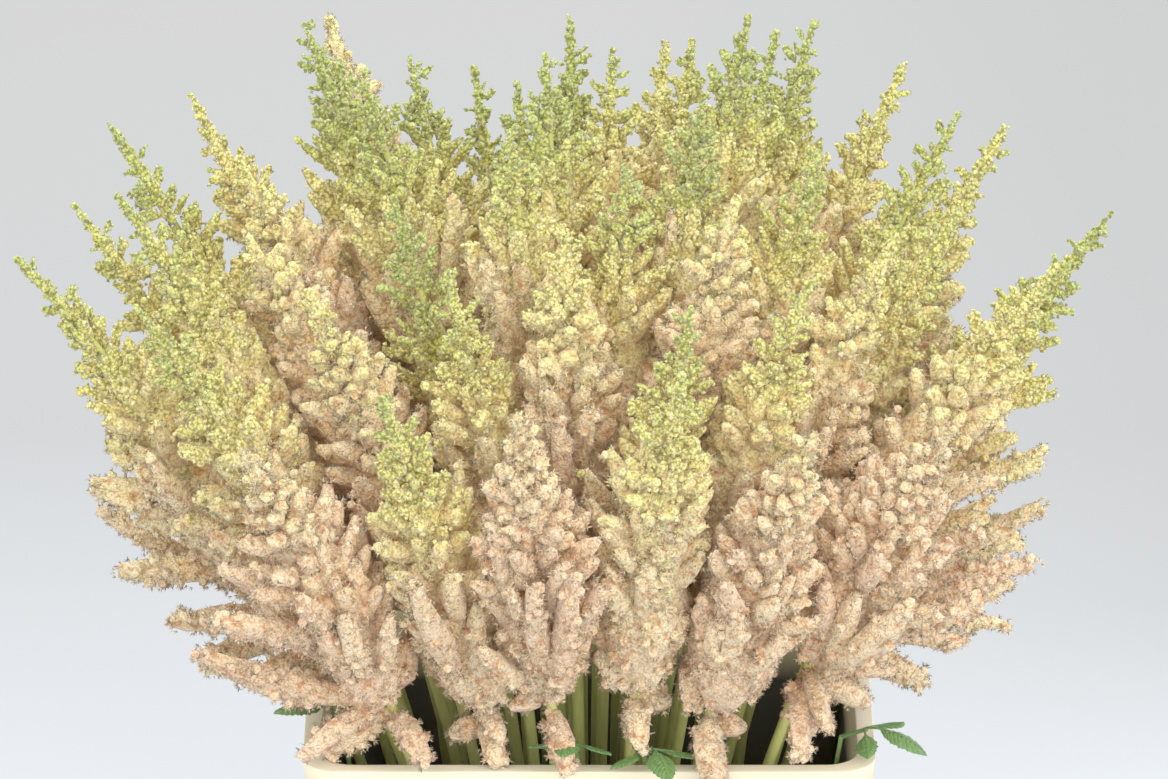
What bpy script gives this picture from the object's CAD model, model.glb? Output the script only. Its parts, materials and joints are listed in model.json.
"""Astilbe in a tub: the looks of the flowering stems, leaves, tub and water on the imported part.

Places and sizes are in millimetres until a mesh is made, because the plant's own rules are; meshes are in metres.
"""

import json
import logging
import math
import sys
from collections.abc import Callable
from dataclasses import dataclass, field
from enum import Enum, IntEnum
from functools import cached_property

import bmesh
import bpy
import numpy as np
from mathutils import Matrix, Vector

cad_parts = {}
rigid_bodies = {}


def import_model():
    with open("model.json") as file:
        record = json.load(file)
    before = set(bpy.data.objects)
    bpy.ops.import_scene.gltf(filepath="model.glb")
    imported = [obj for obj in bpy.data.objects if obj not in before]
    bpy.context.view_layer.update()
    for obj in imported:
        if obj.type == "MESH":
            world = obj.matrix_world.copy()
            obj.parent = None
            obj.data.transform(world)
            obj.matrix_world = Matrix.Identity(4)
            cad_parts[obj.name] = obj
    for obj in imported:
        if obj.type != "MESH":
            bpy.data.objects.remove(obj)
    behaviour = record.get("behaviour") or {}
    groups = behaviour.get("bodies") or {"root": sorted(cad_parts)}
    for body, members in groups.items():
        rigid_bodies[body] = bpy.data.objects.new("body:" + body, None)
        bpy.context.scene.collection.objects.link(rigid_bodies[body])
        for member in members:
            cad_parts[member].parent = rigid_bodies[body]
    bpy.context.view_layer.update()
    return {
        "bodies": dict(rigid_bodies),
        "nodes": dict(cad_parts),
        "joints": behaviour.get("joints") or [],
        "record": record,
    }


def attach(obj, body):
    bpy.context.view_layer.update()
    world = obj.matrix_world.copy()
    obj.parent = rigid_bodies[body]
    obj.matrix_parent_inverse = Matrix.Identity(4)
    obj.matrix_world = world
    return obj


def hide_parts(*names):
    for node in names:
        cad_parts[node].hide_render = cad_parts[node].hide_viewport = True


Socket = bpy.types.NodeSocket
Value = Socket | float
Tone = Socket | tuple

LOG = logging.getLogger("astilbe")
MM = 0.001
GOLDEN = math.pi * (3 - math.sqrt(5))
MIDDLE = (0, 0, 0)
TINY = 1e-9

# The bloom: the patches of a finger's surface along it and around it, and the age at which its buds open.
LENGTHS = 8
TURNS = 8
OPENED = 0.46
# What is laid for each bud, and the sizes as shares of the finger's thickness and in millimetres at most.
KNOBS_A_BUD = 0.26
TUFTS_A_BUD = 0.2
FLORETS_A_BUD = 1.7
FLORETS_A_TUFT = 5
KNOB_SIZES = ((0.34, 0.5), (2.0, 3.2))
TUFT_SIZES = ((0.3, 0.48), (3.2, 4.8))
TUFT_FLORET_SIZES = (2.0, 2.8)
HAIRS = 150
HAIR_SIZES = (1.0, 2.0)


def unit(ways: np.ndarray, spare: float = 0.0) -> np.ndarray:
    """Directions made one long; spare keeps those of no length from a division by 0."""
    lengths = np.linalg.norm(ways) if ways.ndim == 1 else np.linalg.norm(ways, axis=-1, keepdims=True)
    return ways / (lengths + spare)


def placed(name: str, data: bpy.types.ID) -> bpy.types.Object:
    """A new object of the scene at the origin.

    Args:
        name: Its name.
        data: Its mesh, curve, light or camera.

    Returns:
        The object.
    """
    obj = bpy.data.objects.new(name, data)
    bpy.context.scene.collection.objects.link(obj)
    return obj


def dressed(obj: bpy.types.Object, material: bpy.types.Material) -> bpy.types.Object:
    """An object with one material and no other.

    Args:
        obj: The object.
        material: Its material.

    Returns:
        The same object.
    """
    obj.data.materials.clear()
    obj.data.materials.append(material)
    return obj


# ---- the fan that all stems share ----------------------------------------------------------------------------------


@dataclass(frozen=True)
class Fan:
    """How the stems spread from the floor of the tub to their tips."""

    floor_share: float = 0.24
    tip_level: float = 540.0
    foot_level: float = 4.3

    def spread(self, level: np.ndarray) -> np.ndarray:
        """The share of their distance in the tip plan that the stems have reached at a height."""
        climbed = (level - self.foot_level) / (self.tip_level - self.foot_level)
        return self.floor_share + (1 - self.floor_share) * climbed * climbed

    def rate(self, level: np.ndarray) -> np.ndarray:
        """How fast that share grows with height."""
        span = self.tip_level - self.foot_level
        return 2 * (1 - self.floor_share) * (level - self.foot_level) / (span * span)


FAN = Fan()


class Row(Enum):
    """The rows of stems from back to front: tip across, back and up, openness, whorls, and low start if any."""

    BACK = (
        (-135, 175, 530, 0.75, 6), (-60, 195, 495, 0.25, 6), (-10, 150, 540, 0.2, 6), (40, 195, 510, 0.5, 6),
        (97, 180, 520, 0.15, 6), (163, 150, 515, 0.45, 7),
    )
    CROWN = (
        (-245, 92, 502, 0.3, 7), (-205, 140, 500, 0.5, 7), (-145, 110, 550, 0.15, 5), (-92, 128, 525, 0.2, 5),
        (-37, 92, 525, 0.25, 5), (53, 115, 540, 0.4, 5), (115, 113, 550, 0.2, 5), (214, 100, 500, 0.45, 7),
    )
    SUMMIT = (
        (-260, 32, 480, 0.4, 7), (-178, 52, 500, 0.6, 5), (-115, 48, 545, 0.2, 5), (-22, 32, 560, 0.2, 5),
        (12, 82, 545, 0.35, 5), (80, 62, 570, 0.2, 5), (187, 48, 525, 0.3, 6),
    )
    SHOULDER = (
        (-285, -30, 475, 0.35, 7), (-236, -24, 508, 0.35, 7), (-172, -16, 485, 0.7, 5), (-98, -22, 505, 0.2, 6),
        (-40, -32, 545, 0.35, 5), (18, -28, 525, 0.3, 5), (57, 12, 545, 0.2, 5), (117, 0, 525, 0.3, 5),
        (185, -12, 495, 0.4, 6), (262, 8, 485, 0.25, 7),
    )
    BROW = (
        (-223, -95, 475, 0.35, 7), (-140, -82, 480, 0.65, 7), (-70, -95, 495, 0.4, 7), (-13, -95, 520, 0.55, 7),
        (73, -62, 520, 0.7, 7), (50, -120, 485, 0.35, 7), (108, -112, 495, 0.45, 7), (152, -62, 500, 0.6, 7),
        (232, -62, 485, 0.5, 7),
    )
    FRONT = (
        (-170, -160, 425, 0.85, 7, 36), (-101, -165, 455, 0.4, 8, 28), (-35, -188, 455, 0.9, 7, 42),
        (45, -185, 475, 0.45, 7, 42), (110, -175, 440, 0.85, 7, 32), (178, -142, 430, 0.95, 7),
    )


class Draw(IntEnum):
    """What a scattered value is for: added to a branch's number, or the number where no branch has one."""

    BEARING = 17
    LEVEL = 53
    SWEEP = 83
    LEAN = 31
    THICKNESS = 61
    TINT = 7
    STALK = 3
    MIDDLE = 77
    SPIKE = 99


@dataclass(frozen=True)
class Stem:
    """One flowering stem: where it stands in the fan and how far its bloom has opened."""

    number: int
    tip: np.ndarray
    openness: float
    whorls: int
    over_rim: float = 52.0
    inner_whorls: int = 5
    inner_plume: float = 170.0
    outer_plume: float = 215.0

    @cached_property
    def plan(self) -> np.ndarray:
        """Its place in the tip plan."""
        return self.tip[:2] / FAN.spread(self.tip[2])

    @property
    def outer(self) -> bool:
        """Whether it stands on the rim of the dome, where plumes have more whorls."""
        return self.whorls > self.inner_whorls

    @property
    def bearing(self) -> float:
        """The bearing in which it leans."""
        return math.atan2(self.tip[1], self.tip[0])

    @property
    def broadside(self) -> float:
        """How far it leans to the front or the back, 1, and not to the left or the right, 0."""
        return abs(math.sin(self.bearing)) if self.outer else 0.0

    @property
    def plume_foot(self) -> float:
        """The height where its lowest side branches start."""
        length = self.outer_plume if self.outer else self.inner_plume
        return max(self.tip[2] - length, Tub.height + self.over_rim)

    @property
    def rise(self) -> float:
        """The height of its plume."""
        return float(self.tip[2] - self.plume_foot)

    def axis_at(self, level: np.ndarray) -> np.ndarray:
        """Its middle at one or more heights, as rows of x, y, z."""
        level = np.atleast_1d(np.asarray(level, float))
        return np.column_stack([np.outer(FAN.spread(level), self.plan), level])

    def climb_at(self, level: float) -> np.ndarray:
        """The unit direction in which it climbs at a height."""
        return unit(np.array([*(self.plan * FAN.rate(level)), 1.0]))

    def scatter(self, branch: int) -> float:
        """An even scatter between 0 and 1 that differs for each stem and each of its branches."""
        return (self.number * 0.7548777 + branch * 0.5698403) % 1


@dataclass
class Bunch:
    """All the stems, and the room that each has among the others."""

    stems: list[Stem] = field(default_factory=list)
    clear: float = 0.6

    @classmethod
    def grown(cls) -> "Bunch":
        """The bunch of all the rows."""
        rows = [row for group in Row for row in group.value]
        return cls([Stem(i + 1, np.array(row[:3], float), *row[3:]) for i, row in enumerate(rows)])

    @cached_property
    def plans(self) -> np.ndarray:
        """The place of each stem in the tip plan."""
        return np.array([stem.plan for stem in self.stems])

    def room_in_cell(self, stem: Stem, middles: np.ndarray, radii: np.ndarray) -> np.ndarray:
        """How far balls keep inside their stem's cell, halfway to every other stem.

        Args:
            stem: The stem that the balls belong to.
            middles: Rows of x, y, z.
            radii: The radius of each ball.

        Returns:
            The room of each ball, below 0 where it stands out of the cell.
        """
        share = FAN.spread(middles[:, 2])[:, None]
        rate = FAN.rate(middles[:, 2])[:, None]
        others = np.delete(self.plans, stem.number - 1, axis=0)
        away = others - stem.plan
        apart = np.linalg.norm(away, axis=1)
        border = ((others**2).sum(1) - (stem.plan**2).sum()) / (2 * apart)
        beyond = border - (middles[:, :2] / share) @ away.T / apart
        room = share * beyond / np.hypot(1, rate * border)
        return room.min(axis=1) - radii - self.clear


# ---- small shapes, modelled once -----------------------------------------------------------------------------------


@dataclass(frozen=True)
class Shape:
    """A small mesh that is laid many times: its points and its triangles."""

    points: np.ndarray
    faces: np.ndarray


class Modeller:
    """Models the small shapes with Blender's own tools and takes them out of the scene as arrays."""

    @staticmethod
    def fresh() -> None:
        """Deselects everything, so that an operator acts on the new shape only."""
        if bpy.context.object and bpy.context.object.mode != "OBJECT":
            bpy.ops.object.mode_set(mode="OBJECT")
        bpy.ops.object.select_all(action="DESELECT")

    @staticmethod
    def pick(test: Callable[[object], bool], kind: str = "VERT") -> None:
        """Selects the vertices, edges or faces of the mesh being edited for which test(item) is true.

        Args:
            test: Called with each bmesh vertex, edge or face.
            kind: VERT, EDGE or FACE.
        """
        bpy.ops.mesh.select_mode(type=kind)
        bpy.ops.mesh.select_all(action="DESELECT")
        mesh = bmesh.from_edit_mesh(bpy.context.object.data)
        for item in {"VERT": mesh.verts, "EDGE": mesh.edges, "FACE": mesh.faces}[kind]:
            if test(item):
                item.select_set(True)
        mesh.select_flush_mode()
        bmesh.update_edit_mesh(bpy.context.object.data)

    @staticmethod
    def closed() -> None:
        """Turns all faces of the mesh being edited outwards."""
        bpy.ops.mesh.select_all(action="SELECT")
        bpy.ops.mesh.normals_make_consistent(inside=False)

    @staticmethod
    def changed(obj: bpy.types.Object, kind: str, **values: object) -> None:
        """Applies a modifier to the active object.

        Args:
            obj: The active object.
            kind: The modifier's type.
            values: Its settings.
        """
        modifier = obj.modifiers.new("change", kind)
        for key, value in values.items():
            setattr(modifier, key, value)
        bpy.ops.object.modifier_apply(modifier=modifier.name)

    @classmethod
    def triangle(cls, radius: float) -> None:
        """Starts a shape as one flat triangle in edit mode.

        Args:
            radius: How large it is.
        """
        cls.fresh()
        bpy.ops.mesh.primitive_circle_add(vertices=3, radius=radius, fill_type="NGON")
        bpy.ops.object.mode_set(mode="EDIT")

    @staticmethod
    def taken() -> Shape:
        """The shape being modelled as arrays, with its object removed.

        Returns:
            The shape.
        """
        bpy.ops.object.mode_set(mode="OBJECT")
        obj = bpy.context.object
        mesh = obj.data
        mesh.transform(obj.matrix_world)
        mesh.calc_loop_triangles()
        points = np.empty(len(mesh.vertices) * 3, np.float32)
        mesh.vertices.foreach_get("co", points)
        faces = np.empty(len(mesh.loop_triangles) * 3, np.int32)
        mesh.loop_triangles.foreach_get("vertices", faces)
        bpy.data.objects.remove(obj)
        bpy.data.meshes.remove(mesh)
        return Shape(points.reshape(-1, 3).astype(float), faces.reshape(-1, 3))

    @classmethod
    def bud(cls) -> Shape:
        """A closed bud of radius 1 that stands on its narrow end.

        Returns:
            The shape.
        """
        cls.fresh()
        bpy.ops.mesh.primitive_cone_add(vertices=4, radius1=1, radius2=0, depth=1.2,
                                        location=(0, 0, 0.6), end_fill_type="NOTHING")
        bpy.ops.object.mode_set(mode="EDIT")
        cls.pick(lambda v: v.co.z < -0.5)
        bpy.ops.mesh.extrude_region_move(TRANSFORM_OT_translate={"value": (0, 0, -0.9)})
        bpy.ops.mesh.merge(type="CENTER")
        cls.closed()
        return cls.taken()

    @classmethod
    def knob(cls) -> Shape:
        """An uneven round cluster of radius 1.

        Returns:
            The shape.
        """
        cls.fresh()
        bpy.ops.mesh.primitive_ico_sphere_add(subdivisions=1, radius=1)
        bpy.ops.object.mode_set(mode="EDIT")
        bpy.ops.transform.vertex_random(offset=0.16, uniform=1, normal=0, seed=4)
        return cls.taken()

    @classmethod
    def floret(cls) -> Shape:
        """An open floret of radius 1: three narrow petals and two stamens that stand out of it.

        Returns:
            The shape.
        """
        cls.triangle(1)
        cls.ring_of(3, width=0.2, length=0.66, tilt=0.6)
        bpy.ops.mesh.primitive_circle_add(vertices=3, radius=1, fill_type="NGON", rotation=(0, 0, 0.6))
        cls.ring_of(2, width=0.13, length=0.72, tilt=1.1)
        return cls.taken()

    @staticmethod
    def ring_of(count: int, width: float, length: float, tilt: float) -> None:
        """Turns the selected triangle into a ring of narrow blades.

        Args:
            count: How many blades.
            width: How wide a blade is, as a share of the triangle.
            length: How long it is, as a share.
            tilt: How far it rises, in radians.
        """
        bpy.ops.transform.resize(value=(width, length, 1), center_override=MIDDLE)
        bpy.ops.transform.translate(value=(0, 0.5 * length + 0.04, 0))
        bpy.ops.transform.rotate(value=-tilt, orient_axis="X", center_override=MIDDLE)
        for _ in range(count - 1):
            bpy.ops.mesh.duplicate()
            bpy.ops.transform.rotate(value=math.tau / count, orient_axis="Z", center_override=MIDDLE)

    @classmethod
    def hair(cls) -> Shape:
        """A hair of length 1 that stands up.

        Returns:
            The shape.
        """
        cls.triangle(0.667)
        bpy.ops.transform.resize(value=(0.07, 1, 1), center_override=MIDDLE)
        bpy.ops.transform.translate(value=(0, 0.333, 0))
        bpy.ops.transform.rotate(value=math.pi / 2, orient_axis="X", center_override=MIDDLE)
        shape = cls.taken()
        return Shape(shape.points * np.sign(shape.points[:, 2].sum()), shape.faces)

    @classmethod
    def column(cls, sides: int, levels: list[float]) -> Shape:
        """A closed round column of radius 1 along +Z, with a ring at each level from 0.

        Args:
            sides: How many sides it has.
            levels: The heights of its rings, from 0.

        Returns:
            The shape.
        """
        cls.fresh()
        bpy.ops.mesh.primitive_circle_add(vertices=sides, radius=1, fill_type="NGON")
        bpy.ops.object.mode_set(mode="EDIT")
        for low, level in zip(levels, levels[1:]):
            bpy.ops.mesh.extrude_region_move(TRANSFORM_OT_translate={"value": (0, 0, level - low)})
        cls.closed()
        return cls.taken()


@dataclass(frozen=True)
class Shapes:
    """The small shapes that every plume is made of."""

    bud: Shape
    knob: Shape
    floret: Shape
    hair: Shape
    core: Shape
    spike_core: Shape
    plain_core: Shape
    stalk: Shape

    @classmethod
    def modelled(cls) -> "Shapes":
        """Models each of them once.

        Returns:
            All of them.
        """
        return cls(
            bud=Modeller.bud(),
            knob=Modeller.knob(),
            floret=Modeller.floret(),
            hair=Modeller.hair(),
            core=Modeller.column(5, [0, 0.3, 0.55, 0.8, 0.96]),
            spike_core=Modeller.column(7, [i / 15 for i in range(15)]),
            plain_core=Modeller.column(4, [0, 0.45, 0.95]),
            stalk=Modeller.column(8, [i / 16 for i in range(17)]),
        )


def vertex_normals(points: np.ndarray, faces: np.ndarray) -> np.ndarray:
    """The direction that each point of a mesh faces, from the faces around it.

    Args:
        points: Rows of x, y, z.
        faces: Triangles.

    Returns:
        One unit direction a point.
    """
    a, b, c = points[faces[:, 0]], points[faces[:, 1]], points[faces[:, 2]]
    flat = np.cross(b - a, c - a)
    normals = np.zeros_like(points)
    for corner in range(3):
        np.add.at(normals, faces[:, corner], flat)
    return unit(normals, TINY)


@dataclass
class Pile:
    """Copies of small shapes that are gathered into the one mesh of a piece."""

    parts: list[tuple[np.ndarray, ...]] = field(default_factory=list)
    count: int = 0

    def add(self, points: np.ndarray, faces: np.ndarray, marks: np.ndarray, normals: np.ndarray,
            slot: int = 0) -> None:
        """Adds a mesh.

        Args:
            points: Rows of x, y, z in millimetres.
            faces: Triangles.
            marks: Age, tint and depth of each point, for its colour.
            normals: The direction in which each point faces the light.
            slot: The number of its material.
        """
        self.parts.append((points, faces + self.count, marks, normals, np.full(len(faces), slot, np.int32)))
        self.count += len(points)

    def lay(self, shape: Shape, at: np.ndarray, axes: np.ndarray, sizes: np.ndarray, spins: np.ndarray,
            marks: np.ndarray, soft: float = 0.0, inner: float = 0.0, slot: int = 0) -> None:
        """Lays copies of a shape, each with its +Z along an axis.

        Args:
            shape: What is laid.
            at: Where, one row a copy.
            axes: Unit directions, one row a copy.
            sizes: The scale of each copy.
            spins: Its turn about its axis, in radians.
            marks: Age, tint and depth of each copy.
            soft: How far the copies face the light along their axes instead of their own faces.
            inner: How much deeper in the shade their inner ends are than their tips.
            slot: The number of its material.
        """
        if not len(at):
            return
        other = np.where(np.abs(axes[:, [2]]) < 0.9, [[0.0, 0.0, 1.0]], [[1.0, 0.0, 0.0]])
        first = unit(np.cross(other, axes))
        second = np.cross(axes, first)
        cos, sin = np.cos(spins)[:, None], np.sin(spins)[:, None]
        turn = np.stack([first * cos + second * sin, second * cos - first * sin, axes], axis=2) * sizes[:, None, None]
        points = np.einsum("kij,vj->kvi", turn, shape.points) + at[:, None, :]
        own = unit(np.einsum("kij,vj->kvi", turn, shape.points - shape.points.mean(0)), TINY)
        normals = unit(own * (1 - soft) + axes[:, None, :] * soft + [0, 0, 0.5 * soft], TINY)
        many = len(shape.points)
        starts = (np.arange(len(at)) * many)[:, None, None]
        marks = np.repeat(marks, many, axis=0)
        ends = np.clip(np.linalg.norm(shape.points, axis=1), 0, 1)
        marks[:, 2] = np.clip(marks[:, 2] + inner * np.tile(1 - ends, len(at)), 0, 1)
        faces = (shape.faces[None] + starts).reshape(-1, 3)
        self.add(points.reshape(-1, 3), faces, marks, normals.reshape(-1, 3), slot)

    def made(self, name: str, materials: list[bpy.types.Material]) -> bpy.types.Object:
        """The piece as an object at the origin.

        Args:
            name: Its name.
            materials: Its materials, in the order of the slot numbers.

        Returns:
            The object.
        """
        points, faces, marks, normals, slots = (np.concatenate(rows) for rows in zip(*self.parts))
        faces = faces.astype(np.int32)
        mesh = bpy.data.meshes.new(name)
        mesh.vertices.add(len(points))
        mesh.vertices.foreach_set("co", (points * MM).astype(np.float32).ravel())
        mesh.loops.add(faces.size)
        mesh.loops.foreach_set("vertex_index", faces.ravel())
        mesh.polygons.add(len(faces))
        mesh.polygons.foreach_set("loop_start", np.arange(0, faces.size, 3, dtype=np.int32))
        mesh.polygons.foreach_set("material_index", slots)
        mesh.update(calc_edges=True)
        mesh.polygons.foreach_set("use_smooth", np.ones(len(faces), bool))
        bloom = mesh.attributes.new("bloom", "FLOAT_VECTOR", "POINT")
        bloom.data.foreach_set("vector", marks.astype(np.float32).ravel())
        mesh.normals_split_custom_set_from_vertices(normals.astype(np.float32))
        for material in materials:
            mesh.materials.append(material)
        return placed(name, mesh)


# ---- flowering stems -----------------------------------------------------------------------------------------------


@dataclass
class Work:
    """What the bloom of one stem is laid with; the density is in buds a seen square millimetre."""

    pile: Pile
    shapes: Shapes
    density: float
    rng: np.random.Generator

    def turns(self, many: int) -> np.ndarray:
        """Even turns about an axis, in radians."""
        return self.rng.random(many) * math.tau

    def sizes(self, ranges: tuple, thick: float, many: int) -> np.ndarray:
        """Scattered sizes.

        Args:
            ranges: The range as shares of a thickness, and the range in millimetres that limits it.
            thick: The thickness of the finger.
            many: How many.

        Returns:
            One size a copy.
        """
        shares, limits = ranges
        return np.minimum(self.rng.uniform(*shares, many) * thick, self.rng.uniform(*limits, many))


class Outline(Enum):
    """A finger's thickness as pairs of place and share, how close its buds stand, and its fall in age to its end."""

    SIDE = (((0, 0.5), (0.2, 0.86), (0.42, 1), (0.7, 0.86), (0.9, 0.6), (1, 0.3)), 1.0, 0.2)
    SPIKE = (((0, 1), (0.3, 0.9), (0.6, 0.72), (0.88, 0.52), (1, 0.28)), 2.0, 0.3)
    MIDDLE = (((0, 0.4), (0.12, 0.86), (0.3, 1), (0.6, 0.8), (1, 0.3)), 1.0, 0.9)


@dataclass
class Finger:
    """One side branch of a plume, its spike or the bloom around its stalk."""

    root: np.ndarray
    heading: np.ndarray
    sideways: np.ndarray
    reach: float
    thick: float
    bend: float
    age: float
    tint: float
    outline: Outline = Outline.SIDE
    bow: np.ndarray = field(default_factory=lambda: np.zeros(3))
    open_sides: np.ndarray = field(default_factory=lambda: np.ones((LENGTHS, TURNS)))
    lumps: np.ndarray = field(default_factory=lambda: np.zeros((LENGTHS, TURNS)))

    def path(self, along: np.ndarray) -> np.ndarray:
        """The middle of the finger at shares of its length.

        Args:
            along: Shares of its length.

        Returns:
            Rows of x, y, z.
        """
        points = self.root + along[:, None] * self.heading * self.reach
        points += (4 * along * (1 - along))[:, None] * self.bow
        points[:, 2] += self.bend * along * along * self.reach
        return points

    def width(self, along: np.ndarray) -> np.ndarray:
        """Its radius at shares of its length.

        Args:
            along: Shares of its length.

        Returns:
            One radius a place.
        """
        places, shares = zip(*self.outline.value[0])
        slim = 0.84 + 0.16 * np.clip((self.age - 0.25) / 0.4, 0, 1)
        return self.thick * slim * np.interp(along, places, shares)

    def ways(self, along: np.ndarray) -> np.ndarray:
        """The unit directions in which it runs at shares of its length.

        Args:
            along: Shares of its length.

        Returns:
            One unit direction a place.
        """
        ways = np.repeat(self.heading[None], len(along), axis=0)
        ways[:, 2] += 2 * self.bend * along
        return unit(ways)

    def around(self, along: np.ndarray, turn: np.ndarray) -> np.ndarray:
        """The unit directions away from its middle at shares of its length and turns about it."""
        rise = unit(np.cross(self.ways(along), self.sideways))
        return np.cos(turn)[:, None] * self.sideways + np.sin(turn)[:, None] * rise

    def patches(self) -> tuple[np.ndarray, np.ndarray]:
        """The middles of the patches of its surface and the way each faces, by length and then by turn.

        Returns:
            Rows of x, y, z, and as many unit directions.
        """
        along = np.repeat((np.arange(LENGTHS) + 0.5) / LENGTHS, TURNS)
        flat = self.around(along, np.tile((np.arange(TURNS) + 0.5) / TURNS, LENGTHS) * math.tau)
        facing = unit(flat + np.clip(along - 0.8, 0, 1)[:, None] * 5 * self.ways(along))
        return self.path(along) + flat * self.width(along)[:, None], facing

    @cached_property
    def areas(self) -> np.ndarray:
        """The seen surface of each patch in square millimetres.

        Returns:
            A grid of them, by length and then by turn.
        """
        width = self.width((np.arange(LENGTHS) + 0.5) / LENGTHS) + 0.15 * self.thick
        patch = width[:, None] * math.tau * self.reach / (LENGTHS * TURNS)
        return (0.06 + 0.94 * self.open_sides**0.7) * patch * self.outline.value[1]

    @staticmethod
    def between(grid: np.ndarray, along: np.ndarray, turn: np.ndarray) -> np.ndarray:
        """Values between those of a grid over the surface, at shares of its length and turns.

        Args:
            grid: Values by length and then by turn.
            along: Shares of its length.
            turn: Turns about its middle, in radians.

        Returns:
            One value a place.
        """
        row = np.clip(along * LENGTHS - 0.5, 0, LENGTHS - 1)
        low = np.minimum(row.astype(int), LENGTHS - 2)
        column = (turn / math.tau * TURNS - 0.5) % TURNS
        left = np.floor(column).astype(int) % TURNS
        right, up, across = (left + 1) % TURNS, row - low, column % 1
        lower = grid[low, left] * (1 - across) + grid[low, right] * across
        upper = grid[low + 1, left] * (1 - across) + grid[low + 1, right] * across
        return lower * (1 - up) + upper * up

    def body(self, along: np.ndarray, turn: np.ndarray) -> np.ndarray:
        """The radius of the close-packed bloom under the outermost florets, at shares of its length and turns.

        Args:
            along: Shares of its length.
            turn: Turns about its middle, in radians.

        Returns:
            One radius a place.
        """
        opened = np.clip((self.age_at(along) - 0.3) / 0.25, 0, 1)
        seen = self.between(self.open_sides, along, turn)
        full = (0.8 + 0.12 * opened) * self.width(along) - 0.8 + 0.2 * opened
        slack = 0.34 - 0.2 * opened
        lump = 1 + (0.3 - 0.1 * opened) * self.between(self.lumps, along, turn)
        return np.clip(full * (1 - slack * (1 - seen)) * lump, 0.3, None)

    def on_body(self, along: np.ndarray, flat: np.ndarray, over: np.ndarray) -> np.ndarray:
        """Places at distances from its middle, away from it along unit directions."""
        return self.path(along) + flat * np.clip(over, 0.2, None)[:, None]

    def age_at(self, along: np.ndarray) -> np.ndarray:
        """How far the bloom has opened along it."""
        return self.age - self.outline.value[2] * along

    @property
    def in_bud(self) -> np.ndarray:
        """Which eighths of its length are still in bud."""
        return self.age_at((np.arange(LENGTHS) + 0.5) / LENGTHS) < OPENED

    def core(self, shapes: Shapes) -> Shape:
        """The core that suits it: plain deep in the bunch, with many rings on a spike.

        Args:
            shapes: The small shapes.

        Returns:
            The core.
        """
        if self.outline is not Outline.SIDE:
            return shapes.spike_core
        return shapes.plain_core if self.open_sides.max() < 0.15 else shapes.core

    def cost(self, shapes: Shapes) -> float:
        """How many triangles its bloom takes at one bud on a seen square millimetre.

        Args:
            shapes: The small shapes.

        Returns:
            The number of triangles.
        """
        floret, knob = len(shapes.floret.faces), len(shapes.knob.faces)
        bud = len(shapes.bud.faces) + KNOBS_A_BUD * knob
        tuft = TUFTS_A_BUD * (knob + FLORETS_A_TUFT * floret)
        each = np.where(self.in_bud, bud, FLORETS_A_BUD * floret + tuft)
        return float((self.areas.sum(axis=1) * each).sum())

    def dress(self, work: Work) -> None:
        """Lays the core, the clusters, the tufts, the buds and the florets of the finger.

        Args:
            work: What the bloom is laid with.
        """
        self.lumps = work.rng.uniform(-1, 1, (LENGTHS, TURNS))
        self.lay_core(work)
        self.lay_knobs(work)
        self.lay_tufts(work)
        self.lay_buds(work)

    def lay_core(self, work: Work) -> None:
        """Lays the close-packed bloom under the outermost florets, as one lumpy body.

        Args:
            work: What the bloom is laid with.
        """
        core = self.core(work.shapes)
        along = core.points[:, 2]
        turn = np.arctan2(core.points[:, 1], core.points[:, 0]) % math.tau
        middle = self.path(np.clip(along + work.rng.normal(0, 0.012, len(along)), 0, 1))
        points = middle + self.around(along, turn) * self.body(along, turn)[:, None]
        marks = self.marks_at(along, turn, self.age_at(along), self.tint)
        marks[:, 2] = np.clip(marks[:, 2] + 0.06 - 0.08 * self.between(self.lumps, along, turn), 0, 1)
        work.pile.add(points, core.faces, marks, vertex_normals(points, core.faces))

    def lay_knobs(self, work: Work) -> None:
        """Lays the round clusters that give the finger its knobbly outline where it is in bud.

        Args:
            work: What the bloom is laid with.
        """
        rng = work.rng
        along, turn = self.spots(work, KNOBS_A_BUD * self.in_bud)
        many = len(along)
        size = work.sizes(KNOB_SIZES, self.thick, many)
        flat = self.around(along, turn)
        at = self.on_body(along, flat, self.body(along, turn) - 0.1 * size)
        marks = self.marks_at(along, turn, self.age_at(along) + rng.normal(0, 0.05, many), self.tint)
        work.pile.lay(work.shapes.knob, at, flat, size, work.turns(many), marks)

    def lay_tufts(self, work: Work) -> None:
        """Lays the round tufts that stand out of the finger where it is open, with florets all over each.

        Args:
            work: What the bloom is laid with.
        """
        rng = work.rng
        along, turn = self.spots(work, TUFTS_A_BUD * ~self.in_bud)
        many = len(along)
        size = work.sizes(TUFT_SIZES, self.thick, many)
        flat = self.around(along, turn)
        at = self.on_body(along, flat, self.body(along, turn) - 0.12 * size)
        age = self.age_at(along) + rng.normal(0, 0.08, many)
        marks = self.marks_at(along, turn, age, np.clip(0.5 * self.tint + 0.5 * rng.random(many), 0, 1))
        marks[:, 2] = np.clip(marks[:, 2] - 0.06, 0, 1)
        work.pile.lay(work.shapes.knob, at, flat, 0.86 * size, work.turns(many), marks)
        own = np.repeat(np.arange(many), FLORETS_A_TUFT)
        out = unit(flat[own] + rng.normal(0, 0.75, (len(own), 3)), TINY)
        at = at[own] + out * (0.78 * size[own])[:, None]
        sizes = rng.uniform(*TUFT_FLORET_SIZES, len(own))
        work.pile.lay(work.shapes.floret, at, out, sizes, work.turns(len(own)), marks[own], 0.6, 0.25)

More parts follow.
